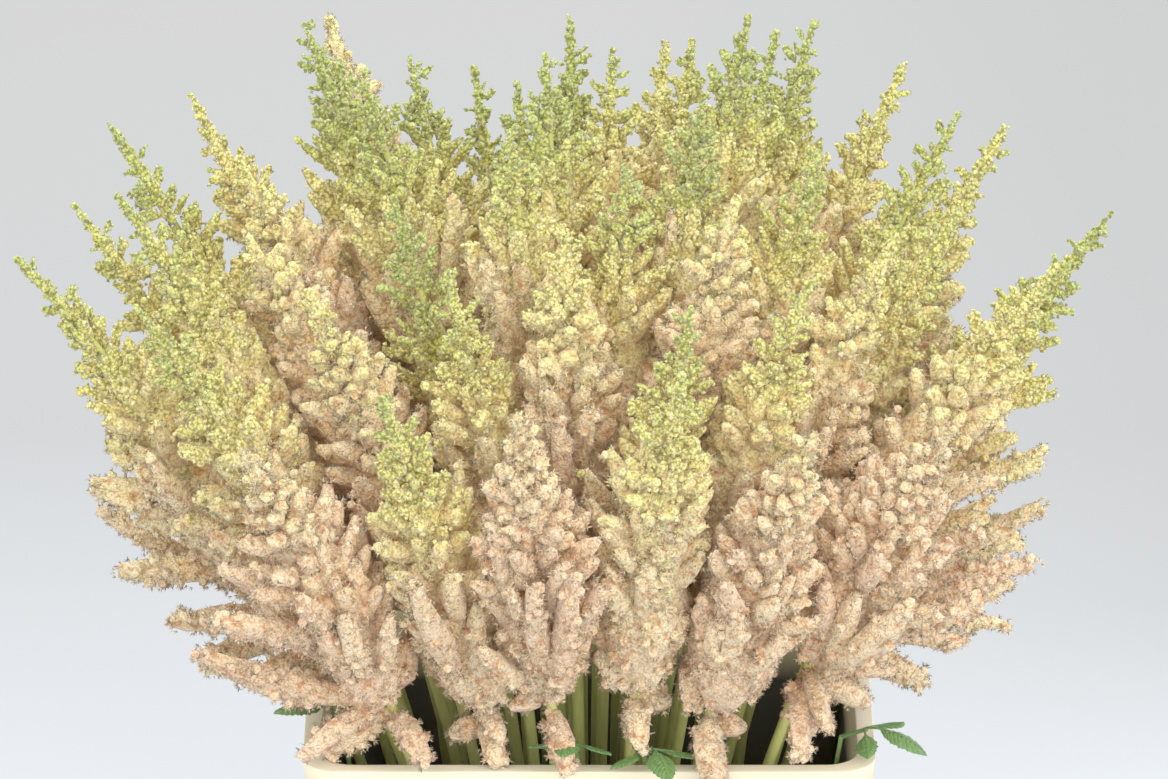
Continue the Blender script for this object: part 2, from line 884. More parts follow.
    def lay_buds(self, work: Work) -> None:
        """Lays single buds, and single florets where the buds have opened.

        Args:
            work: What the bloom is laid with.
        """
        rng = work.rng
        along, turn = self.spots(work, np.where(self.in_bud, 1.0, FLORETS_A_BUD))
        many = len(along)
        shut = self.age_at(along) + rng.normal(0, 0.04, many) < OPENED
        flat = self.around(along, turn)
        lean = (0.25 + 1.0 * np.clip((along - 0.75) / 0.25, 0, 1))[:, None]
        axes = flat * np.cos(lean) + self.ways(along) * np.sin(lean)
        over = np.where(shut, rng.uniform(-0.3, 0.9, many), rng.uniform(-0.8, 0.2, many))
        at = self.on_body(along, flat, self.body(along, turn) + over)
        axes = unit(axes + np.where(shut[:, None], 0.9, 0.5) * unit(rng.normal(0, 1, (many, 3))), TINY)
        age = self.age_at(along) + rng.normal(0, 0.07, many)
        marks = self.marks_at(along, turn, age, np.clip(0.6 * self.tint + 0.4 * rng.random(many), 0, 1))
        spins = work.turns(many)
        sizes = np.where(shut, 1.0 + 0.5 * np.clip(age, 0, 0.6) + 0.3 * rng.random(many),
                         2.2 + 0.9 * rng.random(many))
        for shape, chosen, soft, inner in ((work.shapes.floret, ~shut, 0.6, 0.2), (work.shapes.bud, shut, 0.3, 0.0)):
            work.pile.lay(shape, at[chosen], axes[chosen], sizes[chosen], spins[chosen], marks[chosen], soft, inner)

    def spots(self, work: Work, shares: np.ndarray) -> tuple[np.ndarray, np.ndarray]:
        """Scattered places on the finger, close where it is seen and few where it isn't.

        Args:
            work: What the bloom is laid with.
            shares: How many are laid for each bud, on each eighth of its length.

        Returns:
            Shares of the length, and turns about the middle.
        """
        counts = work.rng.poisson(self.areas * (work.density * shares)[:, None]).ravel()
        patch = np.repeat(np.arange(LENGTHS * TURNS), counts)
        along = (patch // TURNS + work.rng.random(len(patch))) / LENGTHS
        return along, (patch % TURNS + work.rng.random(len(patch))) / TURNS * math.tau

    def marks_at(self, along: np.ndarray, turn: np.ndarray, age: np.ndarray, tint: np.ndarray | float) -> np.ndarray:
        """Age, tint and depth in the shade of the bunch, for the colour of each place."""
        deep = 0.22 * (1 - along) ** 1.5 + 0.55 * (1 - self.between(self.open_sides, along, turn)) - 0.1
        return np.column_stack([age, np.broadcast_to(tint, age.shape), np.clip(deep, 0, 1)])


@dataclass
class Crowd:
    """The room that the fingers fill, as small cubes, to tell which bloom is seen from outside."""

    fingers: list[Finger]
    step: float = 3.0
    low: tuple[float, float, float] = (-330.0, -240.0, 200.0)
    size: tuple[int, int, int] = (220, 160, 140)
    looks: int = 16
    nearest: float = 5.0
    farthest: float = 80.0

    @cached_property
    def filled(self) -> np.ndarray:
        """Which cubes lie in a finger.

        Returns:
            A grid of them, by east, north and up.
        """
        grid = np.zeros(self.size, bool)
        for finger in self.fingers:
            along = np.linspace(0.05, 0.95, max(3, int(finger.reach / 4)))
            middles = (finger.path(along) - self.low) / self.step
            for middle, radius in zip(middles, 0.8 * finger.width(along) / self.step):
                first = np.clip(np.floor(middle - radius), 0, None).astype(int)
                last = np.ceil(middle + radius).astype(int) + 1
                ranges = [np.arange(a, min(b, limit)) for a, b, limit in zip(first, last, self.size)]
                east, north, up = np.ix_(*ranges)
                near = (east - middle[0]) ** 2 + (north - middle[1]) ** 2 + (up - middle[2]) ** 2
                grid[np.ix_(*ranges)] |= near <= radius * radius
        return grid

    def open_at(self, points: np.ndarray, facing: np.ndarray) -> np.ndarray:
        """How much of the outside is seen from points on the bloom, from 0 to 1.

        Args:
            points: Rows of x, y, z.
            facing: The unit direction that each faces.

        Returns:
            One share a point.
        """
        free, whole = np.zeros(len(points)), np.full(len(points), 1e-6)
        for i in range(self.looks):
            up = 1 - 2 * (i + 0.5) / self.looks
            if up < -0.3:
                continue
            flat = math.sqrt(1 - up * up)
            way = np.array([flat * math.cos(i * GOLDEN), flat * math.sin(i * GOLDEN), up])
            faced = np.clip(facing @ way, 0, None)
            clear = faced > 0
            for far in np.arange(self.nearest, self.farthest, self.nearest):
                left = np.flatnonzero(clear)
                cell = ((points[left] + way * far - self.low) / self.step).astype(int)
                inside = ((cell >= 0) & (cell < self.size)).all(axis=1)
                blocked = np.zeros(len(left), bool)
                blocked[inside] = self.filled[tuple(cell[inside].T)]
                clear[left[blocked]] = False
            free += faced * clear
            whole += faced
        return free / whole

    def survey(self) -> None:
        """Notes on every finger how well each patch of it is seen."""
        places, facings = zip(*(finger.patches() for finger in self.fingers))
        seen = self.open_at(np.concatenate(places), np.concatenate(facings))
        for finger, share in zip(self.fingers, seen.reshape(-1, LENGTHS, TURNS)):
            finger.open_sides = share


@dataclass
class Plume:
    """One flowering stem: its stalk, its fingers of bloom and its spike."""

    stem: Stem
    bunch: Bunch
    spike: float = 0.2
    reach: float = 70.0
    top_reach: float = 11.0
    shortest: float = 5.0
    longest: float = 92.0
    thick: float = 10.5
    top_thick: float = 6.0
    plump: float = 0.54
    overlap: float = 8.5
    top_girth: float = 2.8
    girth_rate: float = 0.07
    widest_girth: float = 11.0
    body_rate: float = 0.16
    widest_body: float = 28.0
    crowded: float = 0.72
    spike_fingers: int = 12
    rounds: tuple = ((0.0, 0.0, 1.0), (0.5, 1.28, 0.86), (0.25, 0.64, 0.8), (0.75, 1.92, 0.74))
    stalk_radius: float = 2.9
    fingers: list[Finger] = field(default_factory=list)

    def middle_girth(self, below: float) -> float:
        """How far from the middle of the plume the fingers start, at a distance below its tip."""
        return min(self.top_girth + self.girth_rate * below, self.widest_girth)

    def full_thick(self, low: float) -> float:
        """How thick the fingers are: low is 1 at the foot of the plume and 0 at its top."""
        return self.top_thick + (self.thick - self.top_thick) * low

    def grow(self) -> None:
        """Places the fingers, four in each whorl with slighter ones between whorls, and the spike."""
        stem = self.stem
        high = (1 - self.spike) * stem.rise
        skew = math.pi / 4 + 0.21
        for j in range(1, stem.whorls + 1):
            for i in range(4):
                bearing = j * skew + (i + 0.5) * math.pi / 2
                for k, (above, turn, share) in enumerate(self.rounds):
                    low = 1 - (j - 1 + above) / stem.whorls
                    if k > 1 and low > self.crowded:
                        continue
                    level = stem.plume_foot + high * (j - 0.6 + above) / stem.whorls
                    self.try_finger(level, bearing + turn, low, 50 * k + j * 4 + i, share)
                if j == 1 and stem.outer and stem.scatter(i) > 0.45 * stem.broadside:
                    self.try_skirt(high, i)
        level = stem.plume_foot + high * (stem.whorls - 0.2) / stem.whorls
        for i in range(self.spike_fingers):
            up = (i + 0.5) / 16
            self.try_finger(level + up * (stem.tip[2] - level), i * GOLDEN, -0.45 * up, 210 + i, 0.95 - 0.45 * up)
        root = stem.axis_at(level)[0]
        girth = 0.95 * self.middle_girth(float(np.linalg.norm(stem.tip - root)))
        self.add_upright(root, stem.tip, girth, level, Draw.SPIKE, Outline.SPIKE)
        low = stem.plume_foot + 4
        root, between, end = stem.axis_at(np.array([low, (low + level) / 2, level]))
        girth = min(self.top_girth + self.body_rate * (stem.tip[2] - low), self.widest_body)
        self.add_upright(root, end, girth, low, Draw.MIDDLE, Outline.MIDDLE, between - (root + end) / 2)

    def add_upright(self, root: np.ndarray, end: np.ndarray, girth: float, level: float, draw: Draw,
                    outline: Outline, bow: tuple | np.ndarray = (0.0, 0.0, 0.0)) -> None:
        """Adds a finger that runs along the stem.

        Args:
            root: Where it starts.
            end: Where it ends.
            girth: Its radius at its thickest.
            level: The height that tells its age.
            draw: Its number, for the scatter.
            outline: How its thickness changes.
            bow: How far its middle bends aside.
        """
        length = float(np.linalg.norm(end - root))
        heading = (end - root) / length
        self.fingers.append(Finger(root, heading, unit(np.cross([0.0, 1.0, 0.0], heading)), length, girth, 0,
                                   self.age_of(level), self.stem.scatter(draw), outline, np.asarray(bow)))

    def age_of(self, level: float) -> float:
        """How far the bloom has opened at a height: 0 in green bud, 0.5 opening, 1 open and turning pink."""
        height = (level - self.stem.plume_foot) / self.stem.rise
        return 1.15 * self.stem.openness + 0.68 - 1.08 * max(0.0, height) ** 1.3

    def try_skirt(self, high: float, i: int) -> None:
        """Adds one of the fingers that hang below the lowest whorl on the outer side, or none.

        Args:
            high: The height of the whorls together.
            i: Its number in the skirt.
        """
        stem = self.stem
        side = stem.broadside
        level = stem.plume_foot + 0.4 * high / stem.whorls - 14
        bearing = stem.bearing + 0.7 * (i - 1.5)
        self.try_finger(level, bearing, 1 - 0.5 * side, 190 + i, 1.02 - 0.4 * side, 0.14 + 0.5 * side)

    def try_finger(self, level: float, bearing: float, low: float, number: int, share: float,
                   droop: float = 0.0) -> None:
        """Adds a finger as long as its room allows, or none.

        Args:
            level: The height of its root.
            bearing: The way it points, seen from above.
            low: 1 at the foot of the plume and 0 at its top.
            number: Its number, for the scatter.
            share: Its length against a finger of a whorl.
            droop: How much further it leans out, in radians, where it hangs below the plume.
        """
        stem = self.stem
        bearing += 1.2 * (stem.scatter(number + Draw.BEARING) - 0.5)
        level += 0.5 * stem.rise / stem.whorls * (stem.scatter(number + Draw.LEVEL) - 0.5)
        axis = stem.axis_at(level)
        girth = min(self.middle_girth(stem.tip[2] - level) if not droop else self.stalk_radius,
                    0.45 * float(self.bunch.room_in_cell(stem, axis, np.zeros(1))[0]))
        up = stem.climb_at(level)
        east = unit(np.array([1.0, 0, 0]) - up * up[0])
        root = axis[0] + 0.7 * girth * (east * math.cos(bearing) + np.cross(up, east) * math.sin(bearing))
        flat = np.array([math.cos(bearing), math.sin(bearing), 0.0])
        out = unit(flat - up * (flat @ up))
        outwards = max(0.0, math.cos(bearing - stem.bearing)) if stem.outer else 0.0
        front = 0.0 if droop else math.sin(bearing) ** 2
        swept = 0.56 * stem.scatter(number + Draw.SWEEP) + 0.2 * outwards * low
        lean = 1.12 - 0.38 * low + 0.4 * outwards * (1 - front) * low - swept * front
        lean += 0.5 * (stem.scatter(number + Draw.LEAN) - 0.5) + droop
        heading = up * math.cos(lean) + out * math.sin(lean)
        bend = 0.06 + (0.34 - 0.22 * outwards + 0.2 * front) * max(0.0, low) - 0.7 * droop
        vary = 0.66 + 0.52 * stem.scatter(number) + 0.14 * outwards * (1 - front)
        full = self.top_reach + (self.reach - self.top_reach) * max(0.0, low) ** 1.3
        full = min(full * vary * (1 + 0.36 * outwards * low) * share, self.longest)
        reach = self.room_for(root, heading, bend, low, full)
        if reach <= self.shortest:
            return
        thick = min(self.full_thick(low), self.plump * reach)
        thick *= 0.8 + 0.36 * stem.scatter(number + Draw.THICKNESS)
        self.fingers.append(Finger(root, heading, unit(np.cross(up, out)), reach, thick, bend, self.age_of(level),
                                   stem.scatter(number + Draw.TINT)))

    def room_for(self, root: np.ndarray, heading: np.ndarray, bend: float, low: float, full: float) -> float:
        """The longest reach, up to the full one, with which a finger stays in its cell and off the tub.

        Args:
            root: Where the finger starts.
            heading: The unit direction in which it starts.
            bend: How far it bends up, as a share of its length.
            low: 1 at the foot of the plume and 0 at its top.
            full: Its reach with all the room it wants.

        Returns:
            The reach, or 0 where it has no room.
        """
        tries = np.arange(full, self.shortest, -1.0)
        if not len(tries):
            return 0.0
        along = np.array([0.36, 0.76, 1.0])
        thick = np.minimum(self.full_thick(low), self.plump * tries) - self.overlap
        radii = (thick[:, None] * np.array([1, 0.9, 0.2])).ravel()
        middles = root + (tries[:, None] * along)[:, :, None] * heading
        middles[:, :, 2] += bend * along**2 * tries[:, None]
        flat = middles.reshape(-1, 3)
        room = self.bunch.room_in_cell(self.stem, flat, radii)
        over = np.maximum.reduce([flat[:, 2] - Tub.height, np.abs(flat[:, 0]) - Tub.width / 2,
                                  np.abs(flat[:, 1]) - Tub.depth / 2]) - radii - 2
        free = ((room > 0) & (over > 0)).reshape(middles.shape[:2]).all(axis=1)
        return float(tries[free.argmax()]) if free.any() else 0.0

    def stalk_share(self, level: np.ndarray) -> np.ndarray:
        """How far the stalk has spread at a height: straight in the water, then bent like the fan."""
        ends = np.array([FAN.foot_level, 190.0, self.stem.plume_foot - 8])
        return np.where(level < ends[-1], np.interp(level, ends, FAN.spread(ends)), FAN.spread(level))

    def dress_stalk(self, work: Work) -> None:
        """Lays the stalk with its hairs, up into the spike.

        Args:
            work: What the bloom is laid with.
        """
        stem = self.stem
        column = work.shapes.stalk
        level = FAN.foot_level + column.points[:, 2] * (stem.tip[2] - 12 - FAN.foot_level)
        below = np.clip((stem.tip[2] - level) / stem.rise, 0, 1)
        radius = np.where(level < stem.plume_foot, self.stalk_radius, 1.1 + (self.stalk_radius - 1.1) * below)
        points = np.column_stack([self.stalk_share(level)[:, None] * stem.plan, level])
        points[:, :2] += column.points[:, :2] * radius[:, None]
        marks = np.column_stack([np.full((len(level), 2), (0.5, stem.scatter(Draw.STALK))), level / 300])
        work.pile.add(points, column.faces, marks, column.points * (1, 1, 0), 1)
        level = work.rng.uniform(200, stem.plume_foot + 40, HAIRS)
        turn = work.turns(HAIRS)
        axes = np.column_stack([np.cos(turn), np.sin(turn), work.rng.normal(0.1, 0.4, HAIRS)])
        at = np.column_stack([self.stalk_share(level)[:, None] * stem.plan, level])
        at[:, :2] += axes[:, :2] * (self.stalk_radius - 0.1)
        marks = np.column_stack([np.full((HAIRS, 2), (0.7, 0.9)), level / 300])
        sizes = work.rng.uniform(*HAIR_SIZES, HAIRS)
        work.pile.lay(work.shapes.hair, at, unit(axes), sizes, turn, marks, 0.4, slot=1)

    def made(self, shapes: Shapes, density: float, materials: list[bpy.types.Material]) -> bpy.types.Object:
        """The dressed flowering stem as one object.

        Args:
            shapes: The small shapes.
            density: How many buds stand on a seen square millimetre.
            materials: Bloom and stem.

        Returns:
            The object.
        """
        work = Work(Pile(), shapes, density, np.random.default_rng(self.stem.number))
        self.dress_stalk(work)
        for finger in self.fingers:
            finger.dress(work)
        return work.pile.made(f"astilbe_stem_{self.stem.number:02d}", materials)


# ---- leaves --------------------------------------------------------------------------------------------------------


@dataclass(frozen=True)
class Leaf:
    """One leaf: where its stalk passes the mouth of the tub and how its blade arches."""

    number: int
    mouth: tuple[float, float]
    bearing: float
    out: float
    rise: float
    pitch: float
    size: float
    turns: tuple = (-1.1, 0.0, 1.1)
    stalk_radius: float = 1.25
    foot_share: float = 0.74
    teeth: int = 11
    arch: float = 0.42
    fold: float = 0.22
    blade: float = 0.5

    @property
    def way(self) -> np.ndarray:
        """The level unit direction in which it points."""
        return np.array([math.cos(self.bearing), math.sin(self.bearing), 0.0])

    def path(self) -> np.ndarray:
        """The middles of its stalk from the foot in the water to the base of the blade.

        Returns:
            Rows of x, y, z.
        """
        x, y = self.mouth
        base = np.array([x, y]) + self.way[:2] * self.out
        return np.array([
            [x * self.foot_share, y * self.foot_share, FAN.foot_level],
            [x, y, Tub.height + 3],
            [*base, Tub.height + self.rise],
        ])

    def span(self, turn: float) -> tuple[float, float]:
        """Where a leaflet starts and how long it is, as shares of the leaf's size: the middle one is longer."""
        return (0.28, 0.9) if turn == 0 else (0.2, 0.72)

    def on_blade(self, across: np.ndarray, outward: np.ndarray, thick: np.ndarray) -> np.ndarray:
        """Places on the arched blade.

        Args:
            across: Sideways, in millimetres.
            outward: Away from the stalk.
            thick: Up through the blade.

        Returns:
            Rows of x, y, z.
        """
        base, way = self.path()[-1], self.way
        side = np.array([way[1], -way[0], 0.0])
        along = outward / self.size
        lift = (self.pitch * along - self.arch * along * along) * self.size - self.fold * np.abs(across) + thick
        points = base + (outward - 1.3)[:, None] * way + across[:, None] * side
        points[:, 2] = base[2] + lift
        return points

    def leaflet(self, turn: float) -> bpy.types.Object:
        """One toothed leaflet, modelled flat from a grid and then laid on the arch.

        Args:
            turn: Its angle to the middle of the leaf, in radians.

        Returns:
            The object.
        """
        Modeller.fresh()
        bpy.ops.mesh.primitive_grid_add(x_subdivisions=8, y_subdivisions=28, size=1, location=(0, 0.5, 0),
                                        calc_uvs=True)
        bpy.ops.object.transform_apply(location=True, rotation=False, scale=False)
        piece = bpy.context.object
        foot, length = self.span(turn)
        at = np.array([v.co for v in piece.data.vertices])
        across, along = at[:, 0] * 2, at[:, 1]
        half = 0.31 * np.interp(along, [0, 0.1, 0.3, 0.5, 0.7, 0.88, 1], [0.05, 0.5, 0.93, 1, 0.8, 0.42, 0.02])
        edge = np.abs(across) ** 3
        half = half * (1 - 0.2 * edge * (1 - (along * self.teeth + 0.35) % 1))
        quilt = 0.012 * np.cos(along * self.teeth * math.tau + np.abs(across) * 4) * (1 - edge)
        x = across * half * length * self.size
        y = (foot + (along + 0.05 * np.abs(across)) * length) * self.size
        lift = (quilt - 0.05 * across**2 * length) * self.size
        cos, sin = math.cos(turn), math.sin(turn)
        points = self.on_blade(x * cos + y * sin, y * cos - x * sin, lift) * MM
        for vertex, point in zip(piece.data.vertices, points):
            vertex.co = point
        Modeller.changed(piece, "SOLIDIFY", thickness=self.blade * MM)
        bpy.ops.object.shade_smooth()
        return piece

    def stalk(self) -> bpy.types.Object:
        """The stalk with the ribs of the three leaflets, as one bevelled curve made a mesh.

        Returns:
            The object.
        """
        curve = bpy.data.curves.new("stalk", "CURVE")
        curve.dimensions = "3D"
        curve.bevel_depth = 1.0
        curve.bevel_resolution = 2
        curve.use_fill_caps = True
        end = self.path()[-1]
        lines = [(self.path(), [1, 1, 0.9])]
        for turn in self.turns:
            foot, length = self.span(turn)
            reach = np.linspace(0.04, (foot + length * 0.97), 8) * self.size
            rib = self.on_blade(reach * math.sin(turn), reach * math.cos(turn), np.full(8, 0.12))
            lines.append((np.vstack([end, rib]), list(np.interp(np.arange(9), [0, 2, 8], [0.75, 0.5, 0.1]))))
        for points, radii in lines:
            spline = curve.splines.new("POLY")
            spline.points.add(len(points) - 1)
            for place, point, radius in zip(spline.points, points, radii):
                place.co = (*(point * MM), 1)
                place.radius = radius * self.stalk_radius * MM
        obj = placed("stalk", curve)
        Modeller.fresh()
        obj.select_set(True)
        bpy.context.view_layer.objects.active = obj
        bpy.ops.object.convert(target="MESH")
        return bpy.context.object

    def made(self, material: bpy.types.Material) -> bpy.types.Object:
        """The whole leaf as one object.

        Args:
            material: Its material.

        Returns:
            The object.
        """
        pieces = [*(self.leaflet(turn) for turn in self.turns), self.stalk()]
        Modeller.fresh()
        for piece in pieces:
            piece.select_set(True)
        bpy.context.view_layer.objects.active = pieces[0]
        bpy.ops.object.join()
        leaf = bpy.context.object
        leaf.name = f"toothed_leaf_{self.number}"
        bpy.ops.object.shade_smooth_by_angle(angle=math.radians(50))
        return dressed(leaf, material)


LEAVES = (
    Leaf(1, (-6, -95), 4.5, 7, 12, 0.75, 25),
    Leaf(2, (28, -95), 5.0, 9, 10, 0.45, 28),
    Leaf(3, (-124, -62), 3.5, 4, 12, 0.7, 28),
    Leaf(4, (127, -72), 5.85, 14, 10, 0.3, 28),
    Leaf(5, (14, 93), 1.4, 12, 12, 0.4, 28),
)


# ---- tub -----------------------------------------------------------------------------------------------------------


@dataclass
class Tub:
    """The moulded rectangular tub with its turned-out rim."""

    width: float = 288.0
    depth: float = 216.0
    height: float = 230.0
    wall: float = 3.0
    rim: float = 6.0
    rim_height: float = 11.0
    corner: float = 17.0
    taper: float = 0.86
    foot_edge: float = 3.5
    soft_edge: float = 0.9
    sharp: float = math.radians(40)

    def made(self, material: bpy.types.Material) -> bpy.types.Object:
        """The tub as one object.

        Args:
            material: Its material.

        Returns:
            The object.
        """
        Modeller.fresh()
        off = 2 * (self.rim + self.wall)
        wide, deep = self.width - off, self.depth - off
        bpy.ops.mesh.primitive_cube_add(size=1, location=(0, 0, (self.height + self.wall) * MM / 2),
                                        scale=(wide * MM, deep * MM, (self.height - self.wall) * MM))
        bpy.ops.object.transform_apply(location=True, rotation=False, scale=True)
        tub = bpy.context.object
        tub.name = "moulded_tub"
        bpy.ops.object.mode_set(mode="EDIT")
        top = self.height * MM - 1e-5
        foot = self.wall * MM + 1e-5
        Modeller.pick(lambda v: v.co.z < foot)
        bpy.ops.transform.resize(value=(self.taper, self.taper, 1), center_override=MIDDLE)
        Modeller.pick(lambda e: abs(e.verts[0].co.z - e.verts[1].co.z) > 0.1, "EDGE")
        bpy.ops.mesh.bevel(offset=self.corner * MM, segments=8, affect="EDGES")
        Modeller.pick(lambda f: f.normal.z > 0.9, "FACE")
        bpy.ops.mesh.delete(type="FACE")
        Modeller.pick(lambda e: all(v.co.z < foot for v in e.verts) and len(e.link_faces) == 2, "EDGE")
        bpy.ops.mesh.bevel(offset=self.foot_edge * MM, segments=3, affect="EDGES")
        Modeller.pick(lambda e: all(v.co.z > top for v in e.verts), "EDGE")
        bpy.ops.mesh.extrude_region_move(TRANSFORM_OT_translate={"value": (0, 0, 0)})
        bpy.ops.transform.resize(value=(self.width / wide, self.depth / deep, 1), center_override=MIDDLE)
        bpy.ops.mesh.extrude_region_move(TRANSFORM_OT_translate={"value": (0, 0, -self.rim_height * MM)})
        bpy.ops.transform.resize(value=(0.992, 0.992, 1), center_override=(0, 0, self.height * MM))
        Modeller.closed()
        bpy.ops.object.mode_set(mode="OBJECT")
        up = [f.normal.z for f in tub.data.polygons if abs(f.normal.z) > 0.9 and f.center.z > top]
        if sum(up) < 0:
            tub.data.flip_normals()
        Modeller.changed(tub, "SOLIDIFY", thickness=self.wall * MM, offset=-1)
        Modeller.changed(tub, "BEVEL", width=self.soft_edge * MM, segments=3, limit_method="ANGLE",
                         angle_limit=self.sharp)
        bpy.ops.object.shade_smooth_by_angle(angle=self.sharp)
        return dressed(tub, material)


# ---- finishes ------------------------------------------------------------------------------------------------------


def colour(red: int, green: int, blue: int) -> tuple[float, float, float, float]:
    """A colour of 0 to 255 as Blender's linear one."""
    shares = [value / 255 for value in (red, green, blue)]
    return *(one / 12.92 if one <= 0.04045 else ((one + 0.055) / 1.055) ** 2.4 for one in shares), 1.0


class Board:
    """Puts nodes into a material or group."""

    def __init__(self, tree: bpy.types.NodeTree) -> None:
        """Starts with the tree's nodes cleared."""
        self.tree = tree
        tree.nodes.clear()

    def node(self, kind: str, inputs: dict | None = None, **values: object) -> bpy.types.Node:
        """Adds a node.

        Args:
            kind: Its type, without the ShaderNode in front.
            inputs: Values, or output sockets to link, by input name or number.
            values: Its own settings.

        Returns:
            The node.
        """
        node = self.tree.nodes.new(kind if kind.startswith("Node") else f"ShaderNode{kind}")
        for key, value in values.items():
            setattr(node, key, value)
        for key, value in (inputs or {}).items():
            if isinstance(value, Socket):
                self.tree.links.new(value, node.inputs[key])
            else:
                node.inputs[key].default_value = value
        return node

    @cached_property
    def where(self) -> Socket:
        """The place on the object."""
        return self.node("TexCoord").outputs["Object"]

    def noise(self, scale: Value, detail: float, stretch: tuple | None = None, turned: tuple = MIDDLE) -> Socket:
        """Cloudy noise.

        Args:
            scale: How fine it is, as a number or socket.
            detail: How many finer layers it has.
            stretch: How the place is scaled for it, if it is.
            turned: How the place is turned for it.

        Returns:
            Its output.
        """
        where = self.where
        if stretch:
            where = self.node("Mapping", {"Vector": where, "Scale": stretch, "Rotation": turned}).outputs[0]
        return self.node("TexNoise", {"Vector": where, "Scale": scale, "Detail": detail}).outputs[0]

    def bump(self, height: Socket, strength: float, distance: float, normal: Socket | None = None) -> Socket:
        """A bumped normal from a height, on top of another normal if one is given."""
        inputs = {"Height": height, "Strength": strength, "Distance": distance}
        return self.node("Bump", {**inputs, "Normal": normal} if normal else inputs).outputs[0]

    def ramp(self, by: Socket, stops: tuple) -> Socket:
        """A colour ramp.

        Args:
            by: What it reads.
            stops: Places and colours of 0 to 255.

        Returns:
            Its colour.
        """
        node = self.node("ValToRGB", {"Fac": by})
        elements = node.color_ramp.elements
        while len(elements) > 1:
            elements.remove(elements[-1])
        elements[0].position, elements[0].color = stops[0][0], colour(*stops[0][1])
        for place, shade in stops[1:]:
            elements.new(place).color = colour(*shade)
        return node.outputs["Color"]

    def mix(self, share: Value, first: Tone, second: Tone, blend: str = "MIX") -> Socket:
        """Two colours mixed.

        Args:
            share: How much of the second, as a number or socket.
            first: A colour of 0 to 255 or a socket.
            second: A colour or a socket.
            blend: How they mix.

        Returns:
            The mixed colour.
        """
        first, second = (colour(*one) if isinstance(one, tuple) else one for one in (first, second))
        node = self.node("Mix", {0: share, 6: first, 7: second}, data_type="RGBA", blend_type=blend)
        return node.outputs[2]

    def maths(self, operation: str, first: Value, second: Value = 0.0, clamp: bool = False) -> Socket:
        """A sum of two numbers or sockets."""
        return self.node("Math", {0: first, 1: second}, operation=operation, use_clamp=clamp).outputs[0]

    def times(self, first: Value, second: Value, clamp: bool = False) -> Socket:
        """The product of two numbers or sockets."""
        return self.maths("MULTIPLY", first, second, clamp)

    def past(self, first: Value, second: Value, gain: Value) -> Socket:
        """How far the first is above the second, times a gain, from 0 to 1."""
        return self.times(self.maths("SUBTRACT", first, second), gain, True)

    def grain(self, scale: float, contrast: float, output: str) -> Socket:
        """The shared fine grain.

        Args:
            scale: How fine it is, in grains a metre.
            contrast: How strong.
            output: Mask or Height.
        """
        return self.node("Group", {"Scale": scale, "Contrast": contrast}, node_tree=grain_group()).outputs[output]


def grain_group() -> bpy.types.NodeTree:
    """The shared effect of fine uneven grain, built once: scale and contrast in, a mask and a height out.

    Returns:
        The group.
    """
    name = "fine_grain"
    if name in bpy.data.node_groups:
        return bpy.data.node_groups[name]
    tree = bpy.data.node_groups.new(name, "ShaderNodeTree")
    for label, start in (("Scale", 400.0), ("Contrast", 1.0)):
        tree.interface.new_socket(label, in_out="INPUT", socket_type="NodeSocketFloat").default_value = start
    for label in ("Mask", "Height"):
        tree.interface.new_socket(label, in_out="OUTPUT", socket_type="NodeSocketFloat")
    board = Board(tree)
    given = board.node("NodeGroupInput").outputs
    cells = board.node("TexVoronoi", {"Vector": board.where, "Scale": given["Scale"]})
    centred = board.maths("SUBTRACT", board.noise(given["Scale"], 3.0), 0.5)
    mask = board.maths("ADD", board.times(centred, given["Contrast"]), 0.5, clamp=True)
    height = board.maths("SUBTRACT", 1.0, cells.outputs["Distance"])
    board.node("NodeGroupOutput", {"Mask": mask, "Height": height})
    return tree


@dataclass(frozen=True)
class Finish:
    """What all finishes share: a name, a roughness and a plain shader."""

    name: str
    roughness: float

    def paint(self, board: Board) -> dict:
        """What the shader is given, by the name of its input."""
        raise NotImplementedError

    def made(self) -> bpy.types.Material:
        """The material.

        Returns:
            The material.
        """
        material = bpy.data.materials.new(self.name)
        material.use_nodes = True
        board = Board(material.node_tree)
        shader = board.node("BsdfPrincipled", {"Roughness": self.roughness, **self.paint(board)})
        board.node("OutputMaterial", {"Surface": shader.outputs[0]})
        return material


